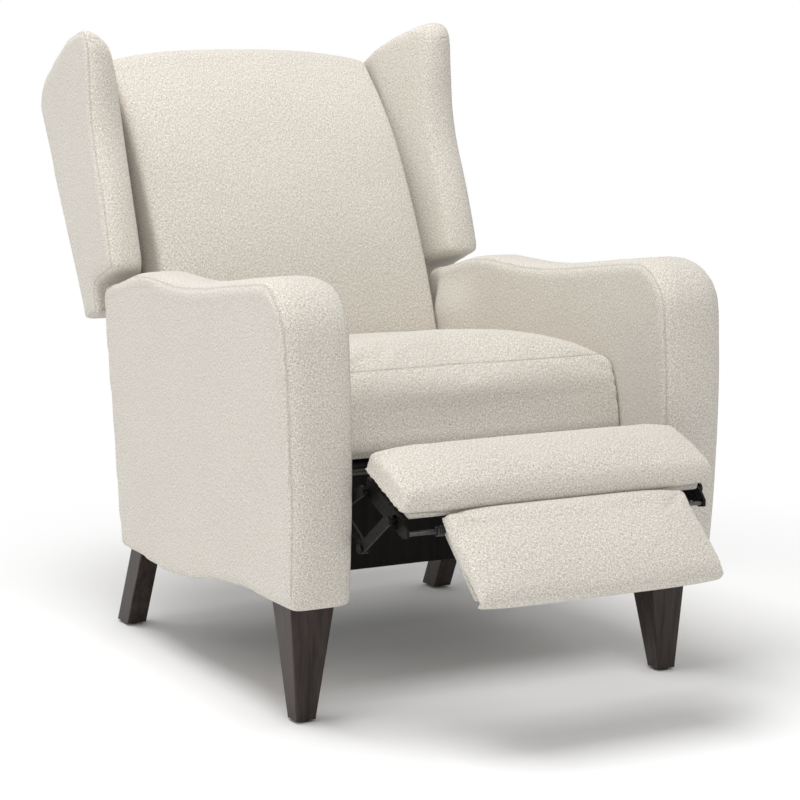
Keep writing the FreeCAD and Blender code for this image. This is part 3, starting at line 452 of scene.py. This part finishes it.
def inflate(obj, held, cap, shrink):
    """Cloth simulation: the cover swells under pressure where it isn't held against its base.

    It starts shrink inside the solid there, and moves by cap at the most.
    """
    start = points_of(obj.data)
    normals = normals_of(obj.data)
    grip = held(start, normals)
    set_points(obj.data, start - normals * (shrink * (1 - grip))[:, None])
    begin = points_of(obj.data)
    pins = obj.vertex_groups.new(name="held")
    for level in range(1, GRIP_LEVELS + 1):
        members = np.nonzero(np.round(grip * GRIP_LEVELS) == level)[0]
        if len(members):
            pins.add(members.tolist(), level / GRIP_LEVELS, "REPLACE")
    cloth = obj.modifiers.new("cloth", "CLOTH")
    settings = cloth.settings
    settings.vertex_group_mass = "held"
    settings.quality = SIM_QUALITY
    settings.use_pressure = True
    settings.uniform_pressure_force = PRESSURE
    settings.tension_stiffness = STRETCH_STIFFNESS
    settings.compression_stiffness = STRETCH_STIFFNESS
    settings.bending_stiffness = BENDING_STIFFNESS
    settings.effector_weights.gravity = 0
    cloth.point_cache.frame_start = 1
    cloth.point_cache.frame_end = SIM_FRAMES
    for number in range(1, SIM_FRAMES + 1):
        scene.frame_set(number)
    apply_modifiers(obj)
    obj.vertex_groups.clear()
    scene.frame_set(1)
    shift = points_of(obj.data) - begin
    length = np.linalg.norm(shift, axis=1, keepdims=True)
    shift *= np.minimum(1.0, cap / np.maximum(length, 1e-9))
    set_points(obj.data, begin + shift)


def remeshed(node, name, voxel, rounds):
    """A smooth even mesh in the shape of a CAD solid."""
    obj = bpy.data.objects.new(name, frame["nodes"][node].data.copy())
    add_to_scene(obj)
    remesh = obj.modifiers.new("remesh", "REMESH")
    remesh.mode = "VOXEL"
    remesh.voxel_size = voxel
    smooth = obj.modifiers.new("smooth", "SMOOTH")
    smooth.factor = 0.5
    smooth.iterations = rounds
    apply_modifiers(obj)
    return obj


def soft_piece(node, body, voxel=0.006, rounds=6, shape=None, crease=None, sewn=None,
               held=None, cap=0.02, shrink=0.003):
    """The cover of a padded solid.

    rounds: how often it is smoothed. shape(points, normals): moves its points.
    crease(point): true where the solid's sharp edges are sewn. sewn(points, normals): distances
    from other seams. held(points, normals): 1 where the cover can't swell and 0 where it can.
    """
    obj = remeshed(node, node + "_cover", voxel, rounds)
    if held:
        inflate(obj, held, cap, shrink)
    laid = points_of(obj.data)
    if shape:
        set_points(obj.data, shape(laid.copy(), normals_of(obj.data)))
    mark_seams(obj, crease_lines(node, crease) if crease else (), sewn, laid)
    dress(obj, body, node)


ARM_FRONT = -0.39544


def depth_of(points):
    """How far points lie behind the arms' front faces."""
    return points[:, 1] - ARM_FRONT


# Arms: the cover is fuller than the solid at its sides, its front edge and the top's rear hump

SIDE_PADDING = 0.0045
FRONT_PADDING = 0.007
HUMP_DEPTHS = [0.05, 0.12, 0.24, 0.30, 0.35, 0.405, 0.475, 0.541, 0.61, 0.66, 0.70]
HUMP_LIFTS = [0, 0.0015, 0.003, 0.0045, 0.0075, 0.0115, 0.015, 0.0155, 0.011, 0.003, 0]
HINGE_PADDING = 0.0178
INNER_SIDE_WITHIN = 0.29
ARM_SEAM_ABOVE = 0.20


def arm_shape(points, normals):
    depth = depth_of(points)
    side = np.sign(points[:, 0])
    outward = normals[:, 0] * side
    points[:, 0] += side * SIDE_PADDING * np.clip(outward, 0, 1)
    points[:, 0] -= (side * FRONT_PADDING * eased(-outward, 0.0, 0.7)
                     * (1 - eased(depth, 0.03, 0.13)))
    lift = np.interp(depth, HUMP_DEPTHS, HUMP_LIFTS)
    points[:, 2] += lift * eased(points[:, 2], 0.46, 0.60)
    # The inner side pads out over the front of the hinge plate
    level = points[:, 2]
    over = eased(depth, 0.540, 0.662) * (1 - eased(depth, 0.698, 0.720))
    over *= eased(level, 0.36, 0.45) * (1 - eased(level, 0.512, 0.600))
    inner = np.abs(points[:, 0]) < INNER_SIDE_WITHIN
    points[:, 0] -= side * HINGE_PADDING * over * inner
    return points


def arm_crease(point):
    return point.z > ARM_SEAM_ABOVE


for word in SIDES:
    soft_piece("arm_" + word, "chair_base", rounds=5, shape=arm_shape, crease=arm_crease)


# Wings: one seam between the outer side and the front band, and a few gathers

WING_FRONT = 0.760
WING_TAPER = 0.04
WING_REAR_Y = 0.56
GATHER_X = 0.340
GATHER_SLOPE = 0.15
GATHERS = ((0.955, 0.022), (1.004, 0.016))
GATHER_WIDTH = 0.01
LEFT_DROOP = 0.034
RIGHT_DROOP = 0.008
RIGHT_TALLER = 0.010


def wing_crease(point):
    """True on the edges round the outer side, apart from those at its rear."""
    behind = point.y - ARM_FRONT - WING_FRONT
    return abs(point.x) > 0.351 - WING_TAPER * behind and point.y < WING_REAR_Y


def wing_gathers(points, normals):
    """Short gathers where the band is eased round the tip, each with its level and reach."""
    found = np.full(len(points), NO_SEAM)
    front = normals[:, 1] < -0.5
    beside = np.abs(points[:, 0]) - GATHER_X
    for level, reach in GATHERS:
        near = front & (np.abs(beside) < reach)
        found = np.where(near, points[:, 2] - level - GATHER_SLOPE * beside, found)
    return np.where(np.abs(found) < GATHER_WIDTH, found, NO_SEAM)


def wing_shape(points, normals):
    """Rounds the tip off towards its inner edge. The right wing is stuffed a little taller."""
    behind = depth_of(points) - WING_FRONT
    inward = np.clip((0.357 - WING_TAPER * behind - np.abs(points[:, 0])) / 0.06, 0, 1.2)
    front = 1 - eased(behind, 0.10, 0.20)
    right = points[:, 0] > 0
    droop = np.where(right, RIGHT_DROOP, LEFT_DROOP)
    points[:, 2] -= droop * inward ** 1.3 * eased(points[:, 2], 0.93, 1.02) * front
    points[:, 2] += RIGHT_TALLER * right * eased(points[:, 2], 0.90, 1.02) * front
    return points


for word in SIDES:
    soft_piece("wing_" + word, "back", rounds=16, shape=wing_shape, crease=wing_crease,
               sewn=wing_gathers)
soft_piece("back_panel", "back", voxel=0.005, rounds=3)


# Seat: crowned at its front, lower at its rear, with a seam round its front band

SEAT_SEAM_LEVEL = 0.503
SEAT_SEAM_BEFORE_Y = -0.19
SEAT_DEPTHS = [0.16, 0.205, 0.235, 0.278, 0.35, 0.418, 0.49, 0.56, 0.64, 0.70]
SEAT_DROPS = [0, -0.003, -0.001, 0.007, 0.019, 0.029, 0.033, 0.031, 0.012, 0.0]
SEAT_LIP_DROP = 0.015


def seat_seam(points, normals):
    """The seam between the top panel and the front band of the seat cushion."""
    return np.where(points[:, 1] < SEAT_SEAM_BEFORE_Y, points[:, 2] - SEAT_SEAM_LEVEL, NO_SEAM)


def seat_shape(points, normals):
    """Lowers the top by the depth behind the front, and the lower lip of the front band."""
    depth = depth_of(points)
    drop = np.interp(depth, SEAT_DEPTHS, SEAT_DROPS)
    points[:, 2] -= drop * eased(points[:, 2], 0.43, 0.53)
    lip = (1 - eased(points[:, 2], 0.392, 0.44)) * (1 - eased(depth, 0.165, 0.185))
    points[:, 2] -= SEAT_LIP_DROP * lip
    return points


def seat_held(points, normals):
    """The cushion is held by its underside, sides and rear, and half held at its front."""
    top = eased(normals[:, 2], -0.1, 0.4)
    front = 0.5 * eased(-normals[:, 1], 0.3, 0.8) * eased(points[:, 2], 0.41, 0.46)
    return 1 - np.maximum(top, front)


soft_piece("seat_cushion", "chair_base", shape=seat_shape, sewn=seat_seam, held=seat_held,
           cap=0.024, shrink=0.006)


# Back: it swells in the middle of the side that faces the sitter

def back_held(points, normals):
    facing = eased(-0.85 * normals[:, 1] + 0.53 * normals[:, 2], 0.2, 0.6)
    middle = 1 - eased(np.abs(points[:, 0]), 0.13, 0.24)
    return 1 - (facing * middle * eased(points[:, 2], 0.46, 0.60)
                * (1 - eased(points[:, 2], 0.78, 0.92)))


soft_piece("back_cushion", "back", held=back_held, cap=0.022)


# Footrest: pillow-like pads, held by the boards under them

PAD_LIP_DROP = 0.004
LEAF_HINGE_DEPTH, LEAF_HINGE_LEVEL = -0.1397, 0.3113
LEAF_TILT = math.radians(43)
LEAF_TOP_RISE, LEAF_TOP_REACH = 0.009, 0.005
LEAF_FAR_REACH, LEAF_FAR_RISE = 0.009, 0.004


def pad_held(points, normals):
    return 1 - eased(normals[:, 2], -0.3, 0.2)


def pad_shape(points, normals):
    """The cover goes down over the front edge of the board."""
    front = 1 - eased(depth_of(points), -0.160, -0.145)
    points[:, 2] -= PAD_LIP_DROP * front * (1 - eased(points[:, 2], 0.345, 0.375))
    return points


def leaf_shape(points, normals):
    """Fills the leaf's upper edge up to the pad above it, and its far edge out.

    along runs from the hinge down the leaf's face, and above stands out from the board.
    """
    depth = depth_of(points) - LEAF_HINGE_DEPTH
    level = points[:, 2] - LEAF_HINGE_LEVEL
    cosine, sine = math.cos(LEAF_TILT), math.sin(LEAF_TILT)
    along = -depth * cosine - level * sine
    above = -depth * sine + level * cosine
    upper = (1 - eased(along, -0.010, 0.035)) * eased(above, 0.012, 0.030)
    above = above + LEAF_TOP_RISE * upper
    along = along - LEAF_TOP_REACH * upper
    far = eased(along, 0.05, 0.147)
    along = along + LEAF_FAR_REACH * far
    above = above + LEAF_FAR_RISE * far
    points[:, 1] = ARM_FRONT + LEAF_HINGE_DEPTH - along * cosine - above * sine
    points[:, 2] = LEAF_HINGE_LEVEL - along * sine + above * cosine
    return points


soft_piece("pad_cushion", "upper_pad", voxel=0.005, rounds=4, shape=pad_shape, held=pad_held,
           cap=0.016)
soft_piece("leaf_cushion", "lower_pad", voxel=0.005, rounds=7, shape=leaf_shape, held=pad_held,
           cap=0.014)


# Boards, posts and the flap that are wrapped in the cover fabric

FLAT_ANGLE = math.radians(1)


def wrapped(node, body, edge):
    """A flat piece in the cover fabric, its edges rounded by the given width."""
    mesh = frame["nodes"][node].data.copy()
    obj = bpy.data.objects.new(node + "_wrap", mesh)
    add_to_scene(obj)
    work = bmesh.new()
    work.from_mesh(mesh)
    bmesh.ops.remove_doubles(work, verts=work.verts, dist=SAME_POINT)
    bmesh.ops.dissolve_limit(work, angle_limit=FLAT_ANGLE, verts=work.verts, edges=work.edges)
    bmesh.ops.bevel(work, geom=work.edges[:], offset=edge, segments=3, affect="EDGES",
                    clamp_overlap=True)
    work.to_mesh(mesh)
    work.free()
    mark_seams(obj)
    dress(obj, body, node)


for word in SIDES:
    wrapped("back_post_" + word, "back", 0.003)
wrapped("pad_board", "upper_pad", 0.002)
wrapped("leaf_board", "lower_pad", 0.002)
wrapped("seat_apron", "chair_base", 0.0006)
wrapped("rear_rail", "chair_base", 0.003)


# Floor, backdrop and light

WHITE = grey(1)
FLOOR_SHADE = grey(0.93)
FLOOR_HALF = 14.0
SHADOW_CENTRE = (0.15, 0.1, 0)
SHADOW_FADES = (0.75, 1.45)
ROOM_LIGHT = 0.50
LIGHT_TARGET = Vector((0, 0, 0.5))


def floor_material():
    """White floor: it takes the chair's shadow near the chair and fades to plain white."""
    made = bpy.data.materials.new("studio_floor")
    g = Graph(made)
    spot = g.node("NewGeometry").outputs["Position"]
    centred = g.node("VectorMath", operation="SUBTRACT")
    g.put_all(centred.inputs, (spot, SHADOW_CENTRE))
    reach = g.node("VectorMath", operation="LENGTH")
    g.put(reach.inputs[0], centred.outputs[0])
    fade = g.spread(reach.outputs["Value"], source=SHADOW_FADES, kind="SMOOTHSTEP")
    share = g.math("MULTIPLY", fade, g.seen_by("Camera", "Glossy"))
    plain = g.node("BsdfDiffuse", Color=FLOOR_SHADE)
    white = g.node("Emission", Strength=1.0)
    g.output(g.either(share, plain, white))
    return made


def make_floor():
    mesh = bpy.data.meshes.new("floor")
    corners = [(x * FLOOR_HALF, y * FLOOR_HALF, 0) for x, y in ((-1, -1), (1, -1), (1, 1), (-1, 1))]
    mesh.from_pydata(corners, [], [(0, 1, 2, 3)])
    floor = bpy.data.objects.new("floor", mesh)
    add_to_scene(floor)
    mesh.materials.append(floor_material())


def make_world():
    """A white backdrop, dimmer for the light that it gives."""
    world = bpy.data.worlds.new("studio")
    scene.world = world
    g = Graph(world)
    room = g.node("Background", Color=WHITE, Strength=ROOM_LIGHT)
    white = g.node("Background", Color=WHITE, Strength=1.0)
    seen = g.seen_by("Camera", "Glossy", "Transmission")
    g.output(g.either(seen, room, white), "OutputWorld")


def area_light(name, place, size, power):
    lamp = bpy.data.lights.new(name, "AREA")
    lamp.shape = "RECTANGLE"
    lamp.size, lamp.size_y = size
    lamp.energy = power
    obj = bpy.data.objects.new(name, lamp)
    add_to_scene(obj)
    obj.location = place
    obj.rotation_euler = (Vector(place) - LIGHT_TARGET).to_track_quat("Z", "Y").to_euler()


make_floor()
make_world()
area_light("key", (-0.9, -0.1, 4.2), (2.6, 2.2), 120)
area_light("front", (-1.2, -4.2, 2.6), (2.4, 2.0), 38)
area_light("side", (-5.0, 0.2, 0.95), (2.0, 1.4), 36)
